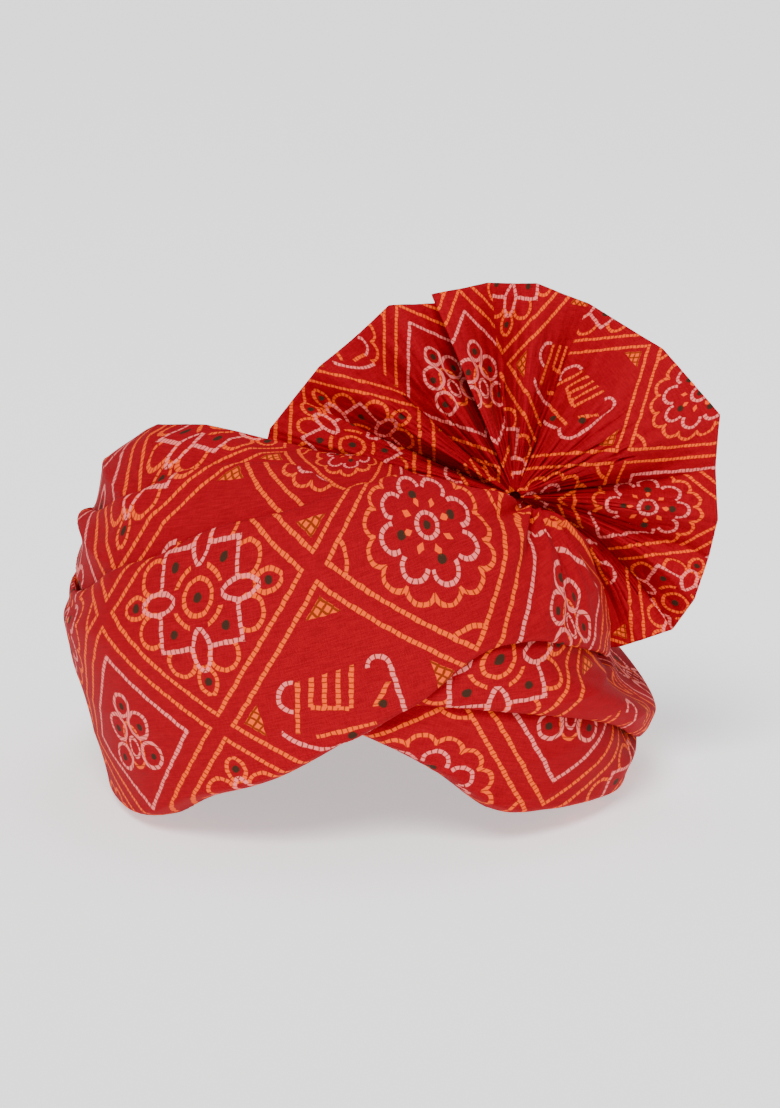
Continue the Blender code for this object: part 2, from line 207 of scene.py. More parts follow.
def smooth_through(knots, values, at, period=None):
    """A cubic through the knots, closed on itself where a period is given."""
    knots, values, at = (np.asarray(x, float) for x in (knots, values, at))
    if period:
        at = (at - knots[0]) % period + knots[0]
        knots = np.concatenate([[knots[-1] - period], knots, knots[:2] + period])
        values = np.concatenate([[values[-1]], values, values[:2]])
    slopes = np.gradient(values, knots)
    i = np.clip(np.searchsorted(knots, at, side="right") - 1, 0, len(knots) - 2)
    span = knots[i + 1] - knots[i]
    s = (at - knots[i]) / span
    start = values[i] * (1 + 2 * s) * (1 - s) ** 2 + slopes[i] * span * s * (1 - s) ** 2
    end = values[i + 1] * s * s * (3 - 2 * s) + slopes[i + 1] * span * s * s * (s - 1)
    return start + end


def ease(low, high, x):
    """0 below low, 1 above high, and a soft step between."""
    s = np.clip((x - low) / (high - low), 0, 1)
    return s * s * (3 - 2 * s)


def oval_radius(azimuth, half_width, half_depth):
    across = np.abs(np.sin(azimuth)) / half_width
    along = np.abs(np.cos(azimuth)) / half_depth
    return (across**OVAL_POWER + along**OVAL_POWER) ** (-1 / OVAL_POWER)


curve_angles = np.linspace(0, math.pi / 2, 1201)
curve_out = (INNER_HALF_WIDTH + INNER_HALF_DEPTH) / 2 * np.cos(curve_angles) ** (2 / WRAP_POWER)
curve_up = INNER_HEIGHT * np.sin(curve_angles) ** (2 / WRAP_POWER)
curve_way = np.concatenate([[0], np.cumsum(np.hypot(np.diff(curve_out), np.diff(curve_up)))])
CLIMB = curve_way[-1]


def dome_point(azimuth, share, depth=0.0, power=WRAP_POWER):
    """A place over the inner turns, from the middle of the hollow."""
    angle = np.interp(share, curve_way / CLIMB, curve_angles)
    out = np.maximum(np.cos(angle), 1e-9) ** (2 / power)
    up = np.maximum(np.sin(angle), 0.0) ** (2 / power)
    radius = oval_radius(azimuth, INNER_HALF_WIDTH, INNER_HALF_DEPTH)
    lean_out = out ** (power - 1) / radius
    lean_up = up ** (power - 1) / INNER_HEIGHT
    size = np.hypot(lean_out, lean_up)
    reach = radius * out + depth * lean_out / size
    level = INNER_HEIGHT * up + depth * lean_up / size
    return np.stack(np.broadcast_arrays(reach * np.sin(azimuth), -reach * np.cos(azimuth), level), -1)


print(f"from rim to crown over the inner turns: {1000 * CLIMB:.0f} mm")

# %% [markdown]
# ## The three turns that show
#
# The solid model holds each turn as a short table of sections, and the same tables are used here, so that
# the fine cloth lies where the solid lies. low and high are the edges of the turn as shares of the way up,
# and the depths are shares of one wrap depth. Two turns cross from low on the right to high on the left.
# The front turn crosses them the other way, and its edges are what the eye follows.

# %% Sections of the turns
WRAP_DEPTH = 0.040
THINNEST_WRAP = 0.0028
LAYER_GAP = 0.0005
EDGE_ROLL = 0.0048
WRAP_COLUMNS = ("azimuth", "low", "high", "low_depth", "crest_depth", "high_depth", "crest_at")

INNER_CROSS_ROWS = (
    (-180, 0.20, 0.50, 0.30, 0.42, 0.36, 0.60),
    (-150, 0.26, 0.51, 0.36, 0.60, 0.50, 0.66),
    (-120, 0.32, 0.55, 0.46, 0.86, 0.74, 0.74),
    (-90, 0.34, 0.645, 0.50, 1.00, 0.92, 0.76),
    (-75, 0.34, 0.685, 0.48, 0.95, 0.88, 0.80),
    (-60, 0.33, 0.735, 0.44, 0.82, 0.76, 0.80),
    (-45, 0.31, 0.80, 0.38, 0.62, 0.56, 0.80),
    (-20, 0.28, 0.855, 0.32, 0.46, 0.42, 0.80),
    (0, 0.238, 0.85, 0.34, 0.32, 0.40, 0.60),
    (15, 0.158, 0.81, 0.36, 0.34, 0.36, 0.30),
    (27, 0.070, 0.74, 0.38, 0.42, 0.34, 0.20),
    (40, 0.045, 0.645, 0.40, 0.50, 0.28, 0.18),
    (55, 0.026, 0.550, 0.42, 0.56, 0.16, 0.18),
    (66, 0.010, 0.400, 0.44, 0.60, 0.12, 0.18),
    (76, 0.000, 0.260, 0.44, 0.60, 0.20, 0.30),
    (90, 0.000, 0.235, 0.46, 0.60, 0.26, 0.35),
    (120, 0.000, 0.28, 0.46, 0.58, 0.26, 0.35),
    (150, 0.080, 0.48, 0.38, 0.48, 0.28, 0.45),
)

OUTER_CROSS_ROWS = (
    (-180, 0.15, 0.46, 0.50, 0.62, 0.52, 0.50),
    (-150, 0.18, 0.45, 0.52, 0.70, 0.62, 0.60),
    (-120, 0.20, 0.46, 0.52, 0.80, 0.76, 0.70),
    (-90, 0.21, 0.50, 0.50, 0.82, 0.82, 0.74),
    (-75, 0.22, 0.525, 0.50, 0.84, 0.82, 0.76),
    (-60, 0.25, 0.575, 0.52, 0.80, 0.76, 0.80),
    (-45, 0.28, 0.655, 0.50, 0.68, 0.64, 0.80),
    (-20, 0.30, 0.71, 0.44, 0.54, 0.52, 0.80),
    (0, 0.310, 0.655, 0.44, 0.50, 0.48, 0.60),
    (17, 0.292, 0.62, 0.50, 0.54, 0.46, 0.35),
    (30, 0.268, 0.520, 0.58, 0.64, 0.38, 0.22),
    (44, 0.233, 0.400, 0.66, 0.74, 0.34, 0.25),
    (58, 0.187, 0.335, 0.70, 0.80, 0.26, 0.24),
    (72, 0.130, 0.275, 0.70, 0.80, 0.30, 0.32),
    (80, 0.105, 0.255, 0.70, 0.82, 0.36, 0.36),
    (95, 0.095, 0.250, 0.70, 0.82, 0.34, 0.34),
    (120, 0.095, 0.31, 0.66, 0.78, 0.44, 0.40),
    (150, 0.120, 0.43, 0.56, 0.66, 0.40, 0.45),
)

FRONT_ROWS = (
    (-180, 0.000, 0.42, 0.46, 0.82, 0.70, 0.60),
    (-150, 0.000, 0.40, 0.40, 0.86, 0.80, 0.72),
    (-120, 0.000, 0.385, 0.34, 0.90, 0.86, 0.86),
    (-90, 0.000, 0.390, 0.32, 0.90, 0.80, 0.86),
    (-70, 0.000, 0.408, 0.36, 0.90, 0.82, 0.86),
    (-52, 0.006, 0.480, 0.42, 0.88, 0.82, 0.75),
    (-43, 0.030, 0.510, 0.48, 0.80, 0.76, 0.68),
    (-33, 0.082, 0.558, 0.52, 0.72, 0.70, 0.60),
    (-15, 0.154, 0.608, 0.55, 0.64, 0.64, 0.50),
    (0, 0.246, 0.665, 0.56, 0.62, 0.60, 0.50),
    (11, 0.312, 0.690, 0.60, 0.62, 0.60, 0.50),
    (20, 0.378, 0.680, 0.60, 0.63, 0.60, 0.50),
    (32, 0.392, 0.648, 0.58, 0.62, 0.56, 0.45),
    (45, 0.362, 0.603, 0.54, 0.58, 0.52, 0.45),
    (60, 0.318, 0.560, 0.48, 0.50, 0.46, 0.45),
    (70, 0.290, 0.500, 0.38, 0.42, 0.36, 0.45),
    (76, 0.286, 0.420, 0.22, 0.25, 0.22, 0.45),
    (83, 0.284, 0.360, 0.15, 0.16, 0.15, 0.45),
    (95, 0.280, 0.350, 0.15, 0.16, 0.15, 0.45),
    (112, 0.275, 0.370, 0.32, 0.36, 0.30, 0.50),
    (130, 0.150, 0.40, 0.66, 0.72, 0.52, 0.50),
    (155, 0.040, 0.42, 0.56, 0.82, 0.64, 0.55),
)


def column(rows, columns, name):
    return np.array([row[columns.index(name)] for row in rows], float)


print("sections:", len(INNER_CROSS_ROWS), len(OUTER_CROSS_ROWS), len(FRONT_ROWS))

# %% [markdown]
# ## Soft creases in wound cloth
#
# Cloth under tension creases along its run, with long shallow ridges that come and go, and it puckers where
# it is pulled together. Waves of whole numbers round the head close on themselves, so they make creases
# without a seam. A second kind of crease fans out from the place where the turban's end is tucked in.

# %% Creases
ROUND = 480
UP = 361
AZIMUTHS = np.radians(np.arange(ROUND) * 360 / ROUND - 180)[:, None]
SHARES = np.linspace(0, 1, UP)[None, :]
GATHER_AZIMUTH = math.radians(47)
GATHER_SHARE = 0.60
GATHER_FROM_MIDDLE = 0.125
GATHER_SMOOTH_WITHIN = 0.006
WAVES_IN_A_CREASE = 9
BUNCHED_AZIMUTH = math.radians(-82)
BUNCHED_WIDTH = math.radians(26)
BUNCHED_EXTRA = 1.3


def long_creases(seed, depth, across, middle):
    """Shallow ridges that run with the turn. across is how many there are from rim to crown."""
    chance = np.random.default_rng(seed)
    waves = np.zeros((ROUND, UP))
    total = 0.0
    for _ in range(WAVES_IN_A_CREASE):
        round_the_head = chance.integers(-3, 4)
        upward = across * chance.uniform(0.5, 1.6)
        size = chance.uniform(0.5, 1.0)
        phase = chance.uniform(0, 2 * math.pi)
        height = upward * 2 * math.pi * (SHARES - middle)
        waves += size * np.sin(round_the_head * AZIMUTHS + height + phase)
        total += size
    sharpened = 1 - np.sqrt(np.abs(waves) / total * 2.2 + 0.01)
    off_bunch = (AZIMUTHS - BUNCHED_AZIMUTH) / BUNCHED_WIDTH
    bunched_on_the_left = 1 + BUNCHED_EXTRA * np.exp(-(off_bunch**2))
    return depth * bunched_on_the_left * np.clip(sharpened, -1, 1)


def gather_creases(depth, count, reach):
    """Folds that fan out from the place where the end is tucked in."""
    right = (AZIMUTHS - GATHER_AZIMUTH) * GATHER_FROM_MIDDLE
    above = (SHARES - GATHER_SHARE) * CLIMB
    away = np.hypot(right, above)
    turn = np.arctan2(above, right)
    folds = np.sin(count * turn + 1.3 * np.sin(2 * turn)) + 0.4 * np.sin(2.6 * count * turn + 1.0)
    smooth_at_gather = np.clip(away / GATHER_SMOOTH_WITHIN, 0, 1)
    return depth * folds * np.exp(-((away / reach) ** 2)) * smooth_at_gather


print("crease grid:", ROUND, "x", UP)

# %% [markdown]
# ## A turn of cloth over what lies below it
#
# Each turn rests on the highest thing under it, so the turns are worked out from the inside out. The crown
# of a turn is softened after it has been laid over the steps below, as tight cloth bridges them. Its two
# edges roll in, because a folded edge of cloth is round and not cut.

# %% Laying a turn
BRIDGED_STEPS = 3
SOFTENINGS = 8
RISE_POWER = 1.2
FALL_POWER = 4
THINNEST_CREASE = 0.4


def highest_near(heights, reach):
    """The highest value within so many grid steps each way."""
    highest = heights
    for step in range(1, reach + 1):
        for shift in (step, -step):
            highest = np.maximum(highest, np.roll(heights, shift, 0))
    sideways = highest.copy()
    for step in range(1, reach + 1):
        highest[:, step:] = np.maximum(highest[:, step:], sideways[:, :-step])
        highest[:, :-step] = np.maximum(highest[:, :-step], sideways[:, step:])
    return highest


def softened(heights, times):
    for _ in range(times):
        heights = (np.roll(heights, 1, 0) + 2 * heights + np.roll(heights, -1, 0)) / 4
        padded = np.pad(heights, ((0, 0), (1, 1)), mode="edge")
        heights = (padded[:, :-2] + 2 * heights + padded[:, 2:]) / 4
    return heights


class Turn:
    """One turn of cloth round the head, as its depth over the inner turns on a grid."""

    def __init__(self, rows, creases, below=()):
        knots = column(rows, WRAP_COLUMNS, "azimuth")
        low, high, low_depth, crest, high_depth, at = (
            smooth_through(knots, column(rows, WRAP_COLUMNS, name), np.degrees(AZIMUTHS), 360)
            for name in WRAP_COLUMNS[1:])
        self.low, self.high = np.maximum(low, 0.0), high
        under = np.zeros((ROUND, UP))
        for turn in below:
            under = np.maximum(under, turn.heights)
        self.floor = highest_near(under, BRIDGED_STEPS) + LAYER_GAP
        width = self.high - self.low
        across = np.clip((SHARES - self.low) / width, 0, 1)
        rising = low_depth + (crest - low_depth) * np.clip(across / at, 0, 1) ** RISE_POWER
        past = np.clip((across - at) / (1 - at), 0, 1) * math.pi / 2
        falling = high_depth + (crest - high_depth) * np.cos(past) ** FALL_POWER
        crown = np.where(across < at, rising, falling) * WRAP_DEPTH
        crown = np.maximum(crown, self.floor + THINNEST_WRAP)
        crown = softened(crown, SOFTENINGS) + creases
        crown = np.maximum(crown, self.floor + THINNEST_CREASE * THINNEST_WRAP)
        edge = np.clip(np.minimum(across, 1 - across) * width * CLIMB / EDGE_ROLL, 0, 1)
        self.outer = self.floor + (crown - self.floor) * np.sqrt(1 - (1 - edge) ** 2)
        inside = (SHARES >= self.low) & (SHARES <= self.high)
        self.heights = np.where(inside, self.outer + LAYER_GAP, 0.0)

    def read(self, grid, share):
        """A grid's value at shares between its columns."""
        place = np.clip(share, 0, 1) * (UP - 1)
        left = np.minimum(place.astype(int), UP - 2)
        part = place - left
        here = np.take_along_axis(grid, left, 1)
        there = np.take_along_axis(grid, left + 1, 1)
        return here * (1 - part) + there * part


inner_cross = Turn(INNER_CROSS_ROWS, long_creases(3, 0.0013, 7, 0.5))
outer_cross = Turn(OUTER_CROSS_ROWS, long_creases(8, 0.0011, 6, 0.3), below=(inner_cross,))
front_creases = long_creases(21, 0.0007, 5, 0.4) + gather_creases(0.0034, 9, 0.040)
front = Turn(FRONT_ROWS, front_creases, below=(inner_cross, outer_cross))
print("deepest cloth over the inner turns in mm:", (1000 * front.heights.max()).round(1))

# %% [markdown]
# ## Cloth coordinates
#
# The print was dyed while the scarf lay flat, so it has to be measured along and across the cloth and not
# along the form. At the front the cloth runs at a slant, so along and across are turned by that slant.
# Round the back the slant is trimmed a little so that the print meets itself after one turn. A turn bulges,
# so its cloth is fuller across than the dome under it, and where a side is steep, its real way counts.

# %% Along and across the cloth
PRINT_CELL = 0.080
PRINT_REPEAT = PRINT_CELL * math.sqrt(2)
FULLNESS = 1.21
STEEP = 1.7
BACK_FROM = (95, 150)
SHARE_OF_ZERO = 0.45


def cloth_coordinates(points, shares, slants, start):
    """Metres along and across the cloth at each point of a turn, and the length of the whole turn."""
    azimuth = np.degrees(AZIMUTHS[:, 0])
    centre = ACROSS_OUTSIDE // 2
    middle = points[:, centre]
    step = np.linalg.norm((np.roll(middle, -1, 0) - middle)[:, :2], axis=1)
    at_back = ease(*BACK_FROM, np.abs(azimuth))
    degrees = smooth_through(*zip(*slants), azimuth, 360)
    slant = np.tan(np.radians(degrees))
    slant -= at_back * (slant * step).sum() / (at_back * step).sum()
    rise = np.concatenate([[0], np.cumsum(slant * step)[:-1]])
    run = step * np.sqrt(1 + slant**2)
    repeats = round(run.sum() / PRINT_REPEAT)
    run *= 1 + at_back * (repeats * PRINT_REPEAT - run.sum()) / (at_back * run).sum()
    along = np.concatenate([[0], np.cumsum(run)[:-1]])
    front_column = int(np.argmin(np.abs(azimuth)))
    angle = np.arctan(slant)[:, None]
    way = np.linalg.norm(np.diff(points, axis=1), axis=2)
    climbed = np.diff(shares, axis=1) * CLIMB * FULLNESS
    steep = way > STEEP * np.abs(climbed)
    climbed = np.where(steep, way * np.sign(climbed), climbed)
    height = np.pad(np.cumsum(climbed, 1), ((0, 0), (1, 0)))
    height_at_centre = (shares[:, centre] - SHARE_OF_ZERO) * CLIMB * FULLNESS
    height += (height_at_centre - height[:, centre] - rise + rise[front_column])[:, None]
    along = (along - along[front_column])[:, None] + height * np.sin(angle)
    across = height * np.cos(angle)
    return np.stack([along + start[0], across + start[1]], -1), repeats * PRINT_REPEAT


print("one repeat of the lattice along the cloth in mm:", round(1000 * PRINT_REPEAT, 1))

# %% [markdown]
# ## From the grid to a mesh
#
# A turn is a closed band: its outside, then its hidden inside, joined at both edges. Points come closer
# together near the edges, where the cloth bends most. A crossing turn is twisted where it passes under the
# front one, so its upper left and its lower right each run at a slant of their own, and they meet out of
# sight.

# %% Band mesh
ACROSS_OUTSIDE = 84
ACROSS_INSIDE = 14
EDGE_CROWDING = 0.55
LOWER_RIGHT_FROM = (-40, 0)
LOWER_RIGHT_UNDER = (0.35, 0.60)
LEFT_OUT_OF_SIGHT = (-180, -95)
RIGHT_OUT_OF_SIGHT = (60, 110)


def grid_corners(rows, columns):
    """The four corners of each face of a grid, as pairs of a row and a column."""
    i, j = (part.ravel() for part in np.meshgrid(np.arange(rows), np.arange(columns), indexing="ij"))
    return (i, j), (i + 1, j), (i + 1, j + 1), (i, j + 1)


def closed_grid(cloth):
    """Faces and cloth coordinates of a grid that closes both ways. cloth has one more row, for the seam."""
    around = cloth.shape[1]
    corners = [(i, j % around) for i, j in grid_corners(ROUND, around)]
    faces = np.stack([i % ROUND * around + j for i, j in corners], -1)
    return faces, np.stack([cloth[i, j] for i, j in corners], 1)


def mesh_object(name, points, faces, coordinates):
    """A smooth mesh from the middle of the hollow, with cloth coordinates at each face corner."""
    mesh = bpy.data.meshes.new(name)
    mesh.from_pydata((np.asarray(points).reshape(-1, 3) + MIDDLE).tolist(), [], faces)
    mesh.uv_layers.new(name="cloth").data.foreach_set("uv", np.asarray(coordinates, np.float32).ravel())
    mesh.shade_smooth()
    mesh.update()
    print(f"{name}: {len(faces)} faces")
    return add_object(name, mesh)


def band_object(name, turn, slants, start, upper_left=None):
    spread = (1 - np.cos(np.linspace(0, math.pi, ACROSS_OUTSIDE))) / 2
    spread = EDGE_CROWDING * spread + (1 - EDGE_CROWDING) * np.linspace(0, 1, ACROSS_OUTSIDE)
    upward = turn.low + (turn.high - turn.low) * spread
    downward = turn.high + (turn.low - turn.high) * np.linspace(0, 1, ACROSS_INSIDE + 2)[1:-1]
    outside = dome_point(AZIMUTHS, upward, turn.read(turn.outer, upward))
    inside = dome_point(AZIMUTHS, downward, turn.read(turn.floor, downward))
    points = np.concatenate([outside, inside], 1)
    points[..., 2] = np.maximum(points[..., 2], 0.0)
    shares = np.concatenate([upward, downward], 1)
    cloth, length = cloth_coordinates(points, shares, slants, start)
    if upper_left:
        azimuth = np.degrees(AZIMUTHS)
        lower_right = ease(*LOWER_RIGHT_FROM, azimuth) * (1 - ease(*LOWER_RIGHT_UNDER, shares))
        in_sight = ease(*LEFT_OUT_OF_SIGHT, azimuth) * (1 - ease(*RIGHT_OUT_OF_SIGHT, azimuth))
        turned = ((1 - lower_right) * in_sight)[..., None]
        cloth += turned * (cloth_coordinates(points, shares, *upper_left)[0] - cloth)
    faces, coordinates = closed_grid(np.concatenate([cloth, cloth[:1] + (length, 0.0)]))
    return mesh_object(name, points, faces.tolist(), coordinates)


UPPER_LEFT_SLANTS = ((-150, 0), (-90, 12), (-60, 16), (0, 16), (45, 10), (100, 0))
INNER_CROSS_SLANTS = ((-150, 0), (-60, -8), (0, -20), (40, -18), (80, 0))
OUTER_CROSS_SLANTS = ((-150, 0), (-60, 0), (0, 0), (30, 2), (60, 6), (100, 0))
FRONT_SLANTS = ((-160, 0), (-90, 14), (-40, 16), (0, 16), (30, 14), (80, 0), (130, 0))
inner_cross_band = band_object(
    "inner_cross_cloth", inner_cross, INNER_CROSS_SLANTS, (0.0045, -0.0414),
    upper_left=(UPPER_LEFT_SLANTS, (0.0397, 0.0071)))
outer_cross_band = band_object(
    "outer_cross_cloth", outer_cross, OUTER_CROSS_SLANTS, (0.1139, 0.0213),
    upper_left=(UPPER_LEFT_SLANTS, (0.0598, 0.0233)))
front_band = band_object("front_cloth", front, FRONT_SLANTS, (0.0145, -0.0242))

# %% [markdown]
# ## The wound inner turns
#
# Under the turns that show, the scarf is wound round and round a lining. Inside, the hollow for the head is
# smooth, with only the faint steps of the windings. On top, the cloth is drawn in towards the crown in a
# slow spiral of pleats. They sink a little and never rise, so that they stay clear of what lies on them.
# The print spreads evenly from the crown, as on a flat cloth laid over it.

# %% Inner turns
HOLLOW_HALF_WIDTH = 0.081
HOLLOW_HALF_DEPTH = 0.100
HOLLOW_HEIGHT = 0.130
HOLLOW_POWER = 3.0
RIM_TUCK = 0.020
OUTSIDE_RINGS = 100
INSIDE_RINGS = 44
LAST_OUTSIDE_SHARE = 0.992
LAST_INSIDE_SHARE = 0.985
CROWN_PLEATS = 11
CROWN_PLEAT_DEPTH = 0.0024
CROWN_PLEATS_FROM = (0.35, 0.6)
CROWN_PLEATS_UNTIL = (0.93, 0.99)
WINDINGS = 24
WINDING_DEPTH = 0.0006


def hollow_point(azimuth, share, depth):
    angle = share * math.pi / 2
    out = np.maximum(np.cos(angle), 0.0) ** (2 / HOLLOW_POWER)
    up = np.sin(angle) ** (2 / HOLLOW_POWER)
    reach = (oval_radius(azimuth, HOLLOW_HALF_WIDTH, HOLLOW_HALF_DEPTH) + depth) * out
    level = (HOLLOW_HEIGHT + depth) * up
    return np.stack(np.broadcast_arrays(reach * np.sin(azimuth), -reach * np.cos(azimuth), level), -1)


def inner_turns_object(name):
    lowest = np.minimum(inner_cross.low, front.low)
    rims = np.where(lowest > 0.001, lowest + RIM_TUCK * np.clip(lowest / 0.03, 0, 1), 0.0)
    shares = rims + (LAST_OUTSIDE_SHARE - rims) * np.linspace(0, 1, OUTSIDE_RINGS)
    swirl = CROWN_PLEATS * (AZIMUTHS + 1.1 * shares) + 1.6 * np.sin(3 * AZIMUTHS + 4 * shares)
    pleated_part = ease(*CROWN_PLEATS_FROM, shares) * (1 - ease(*CROWN_PLEATS_UNTIL, shares))
    pleats = CROWN_PLEAT_DEPTH * (np.abs(np.sin(swirl)) ** 0.6 - 1) * pleated_part
    outside = dome_point(AZIMUTHS, shares, pleats, power=DOME_POWER)
    inner_rims = np.where(rims > 0, rims * 0.9, 0.0)
    inner_shares = inner_rims + (LAST_INSIDE_SHARE - inner_rims) * np.linspace(1, 0, INSIDE_RINGS)
    windings = WINDING_DEPTH * (1 - np.abs(np.sin(WINDINGS * inner_shares + 0.6 * np.sin(AZIMUTHS))))
    points = np.concatenate([outside, hollow_point(AZIMUTHS, inner_shares, windings)], 1)
    from_crown = (1 - np.concatenate([shares, inner_shares], 1)) * CLIMB
    cloth = np.stack([from_crown * np.sin(AZIMUTHS), -from_crown * np.cos(AZIMUTHS)], -1)
    cloth = cloth[[*range(ROUND), 0]]
    faces, coordinates = closed_grid(cloth)
    rows = points.shape[1]
    ring = np.arange(len(faces)) % rows
    last = OUTSIDE_RINGS - 1
    faces, coordinates = faces[ring != last].tolist(), coordinates[ring != last].reshape(-1, 2)
    top, under = ROUND * rows, ROUND * rows + 1
    i = np.arange(ROUND)
    here, after = i * rows + last, (i + 1) % ROUND * rows + last
    faces += np.stack([here, after, np.full(ROUND, top)], -1).tolist()
    faces += np.stack([after + 1, here + 1, np.full(ROUND, under)], -1).tolist()
    at_crown = np.zeros((ROUND, 2))
    crown_print = np.stack([cloth[i, last], cloth[i + 1, last], at_crown], 1)
    hollow_print = np.stack([cloth[i + 1, last + 1], cloth[i, last + 1], at_crown], 1)
    coordinates = np.concatenate([coordinates, crown_print.reshape(-1, 2), hollow_print.reshape(-1, 2)])
    crowns = np.array([[0, 0, INNER_HEIGHT], [0, 0, HOLLOW_HEIGHT]])
    made = mesh_object(name, np.concatenate([points.reshape(-1, 3), crowns]), faces, coordinates)
    lined = np.concatenate([ring[ring != last] > last, i < 0, i >= 0])
    made.data.polygons.foreach_set("material_index", lined.astype(np.int32))
    return made


inner_turns = inner_turns_object("inner_turns_cloth")

# %% [markdown]
# ## The fan
#
# The free end of the scarf is starched, pleated along its length and gathered at one point, so it opens
# like a paper fan. It follows a rule, which makes it a good main piece for Geometry Nodes: every point has
# an angle, a share of the way out, and three values read from its fold line. The table gives the fold
# lines, with crest above zero where a fold stands forward. Between two fold lines the cloth is nearly flat
# and its rim is straight. Where the angle goes back a few degrees, a pleat laps over the one to its left.

# %% Fold lines of the fan
FAN_RADIUS = 0.0935
FAN_COLUMNS = ("angle", "crest", "rim", "sweep")
FAN_ROWS = (
    (173, 0.20, 1.20, 0.50),
    (164, 0.60, 1.19, 0.48),
    (155, -0.90, 1.13, 0.44),
    (146, 0.60, 1.10, 0.40),
    (136, -0.75, 1.06, 0.35),
    (123, 0.90, 1.07, 0.30),
    (108, -1.50, 0.96, 0.26),
    (112, 1.10, 1.02, 0.24),
    (97, -1.20, 1.01, 0.22),
    (84, 0.80, 1.00, 0.20),
    (69, -1.25, 0.97, 0.20),
    (45, 0.50, 0.98, 0.24),
    (22, 0.40, 1.04, 0.32),
    (8, -1.10, 0.96, 0.42),
    (-6, 0.50, 0.97, 0.54),
    (-17, -0.75, 0.97, 0.66),
    (-29, 0.50, 0.99, 0.80),
    (-39, -0.80, 0.99, 0.94),
    (-47, 0.40, 0.92, 1.04),
    (-53, -0.30, 0.88, 1.08),
    (-62, 0.10, 0.82, 1.14),
)
FAN_STEPS_PER_FOLD = 22
FAN_RINGS = 64
FAN_EYE_RADIUS = 0.0025
FAN_DROOP = 0.60
fold_angles, fold_crests, fold_rims, fold_sweeps = (
    column(FAN_ROWS, FAN_COLUMNS, name) for name in FAN_COLUMNS)
fold_steps = np.arange((len(FAN_ROWS) - 1) * FAN_STEPS_PER_FOLD + 1) / FAN_STEPS_PER_FOLD
fan_angles = np.interp(fold_steps, np.arange(len(FAN_ROWS)), fold_angles)


def straight_rim():
    """The rim between two fold lines is a chord and not an arc."""
    i = np.minimum(fold_steps.astype(int), len(fold_angles) - 2)
    first, last = np.radians(fold_angles[i]), np.radians(fold_angles[i + 1])
    here = np.radians(fan_angles)
    numerator = fold_rims[i] * fold_rims[i + 1] * np.sin(first - last)
    return numerator / (fold_rims[i] * np.sin(first - here) + fold_rims[i + 1] * np.sin(here - last))


def flat_panels(values):
    """Nearly straight between fold lines, with the folds just rounded."""
    straight = np.interp(fold_steps, np.arange(len(values)), values)
    rounded = smooth_through(np.arange(len(values)), values, fold_steps)
    return 0.6 * straight + 0.4 * rounded


fan_values = {
    "angle": fan_angles,
    "crest": flat_panels(fold_crests),
    "rim": straight_rim(),
    "sweep": smooth_through(np.arange(len(fold_sweeps)), fold_sweeps, fold_steps),
}
print("fold lines:", len(FAN_ROWS), "columns of points:", len(fan_angles))

# %% [markdown]
# The print on the fan is cut up by the pleats: each panel between two valleys shows its own piece of the
# pattern, undistorted. So each panel gets a flat set of cloth coordinates, turned and shifted by its row in
# a second table. Folds and creases take up cloth, most of all sideways, so there is more print in a panel
# than its width shows.

# %% Panels of the fan
PANEL_COLUMNS = ("from", "to", "turn", "along", "across")
PANEL_ROWS = (
    (173, 155, -35, 0.220, -0.081),
    (155, 136, -17, 0.225, -0.075),
    (136, 112, 0, 0.104, -0.019),
    (112, 96, 0, 0.116, -0.013),
    (96, 69, 0, 0.193, -0.018),
    (69, 8, 0, 0.028, -0.005),
    (8, -17, 0, 0.057, 0.037),
    (-17, -39, 0, 0.157, 0.002),
    (-39, -62, 0, 0.226, -0.003),
)
PANEL_FULLNESS_OUT = 1.28
PANEL_FULLNESS_SIDE = 1.90


def fan_sheet():
    """The unpleated sheet: a flat strip of points that carries its fold values and its print."""
    count = len(fan_angles)
    out = np.linspace(0, 1, FAN_RINGS)[:, None] ** 0.9
    droop = np.where(fan_angles < 0, 1 - FAN_DROOP * (1 - out), 1.0)
    reach = FAN_EYE_RADIUS + (fan_values["rim"] * FAN_RADIUS - FAN_EYE_RADIUS) * out
    heading = np.radians(fan_angles * droop)
    corners = [(ring, i) for i, ring in grid_corners(count - 1, FAN_RINGS - 1)]
    faces = np.stack([ring * count + i for ring, i in corners], -1)
    first_column = corners[0][1]
    centre = (fan_angles[first_column] + fan_angles[first_column + 1]) / 2
    coordinates = np.zeros((len(faces), 4, 2))
    for first, last, turn, along, across in PANEL_ROWS:
        chosen = (centre <= first) & (centre >= last)
        middle, turned = math.radians((first + last) / 2), math.radians(turn)
        outwards = PANEL_FULLNESS_OUT * reach * np.cos(heading - middle)
        sideways = -PANEL_FULLNESS_SIDE * reach * np.sin(heading - middle)
        place = np.stack([
            along + outwards * math.sin(turned) + sideways * math.cos(turned),
            across + outwards * math.cos(turned) - sideways * math.sin(turned)], -1)
        for corner, (ring, i) in enumerate(corners):
            coordinates[chosen, corner] = place[ring, i][chosen]
    flat = np.zeros((FAN_RINGS, count, 3))
    flat[..., 0], flat[..., 1] = fold_steps * 0.01, out * FAN_RADIUS
    sheet = mesh_object("pleated_fan_cloth", flat.reshape(-1, 3) - MIDDLE, faces.tolist(), coordinates)
    for name, values in {**fan_values, "out": out}.items():
        spread = np.broadcast_to(values, (FAN_RINGS, count)).astype(np.float32).ravel()
        sheet.data.attributes.new(name, "FLOAT", "POINT").data.foreach_set("value", spread)
    wall = sheet.vertex_groups.new(name="wall")
    for ring in range(FAN_RINGS):
        fullness = float(min(1.0, 2 * out[ring, 0]))
        wall.add(range(ring * count, (ring + 1) * count), fullness, "REPLACE")
    return sheet


fan = fan_sheet()

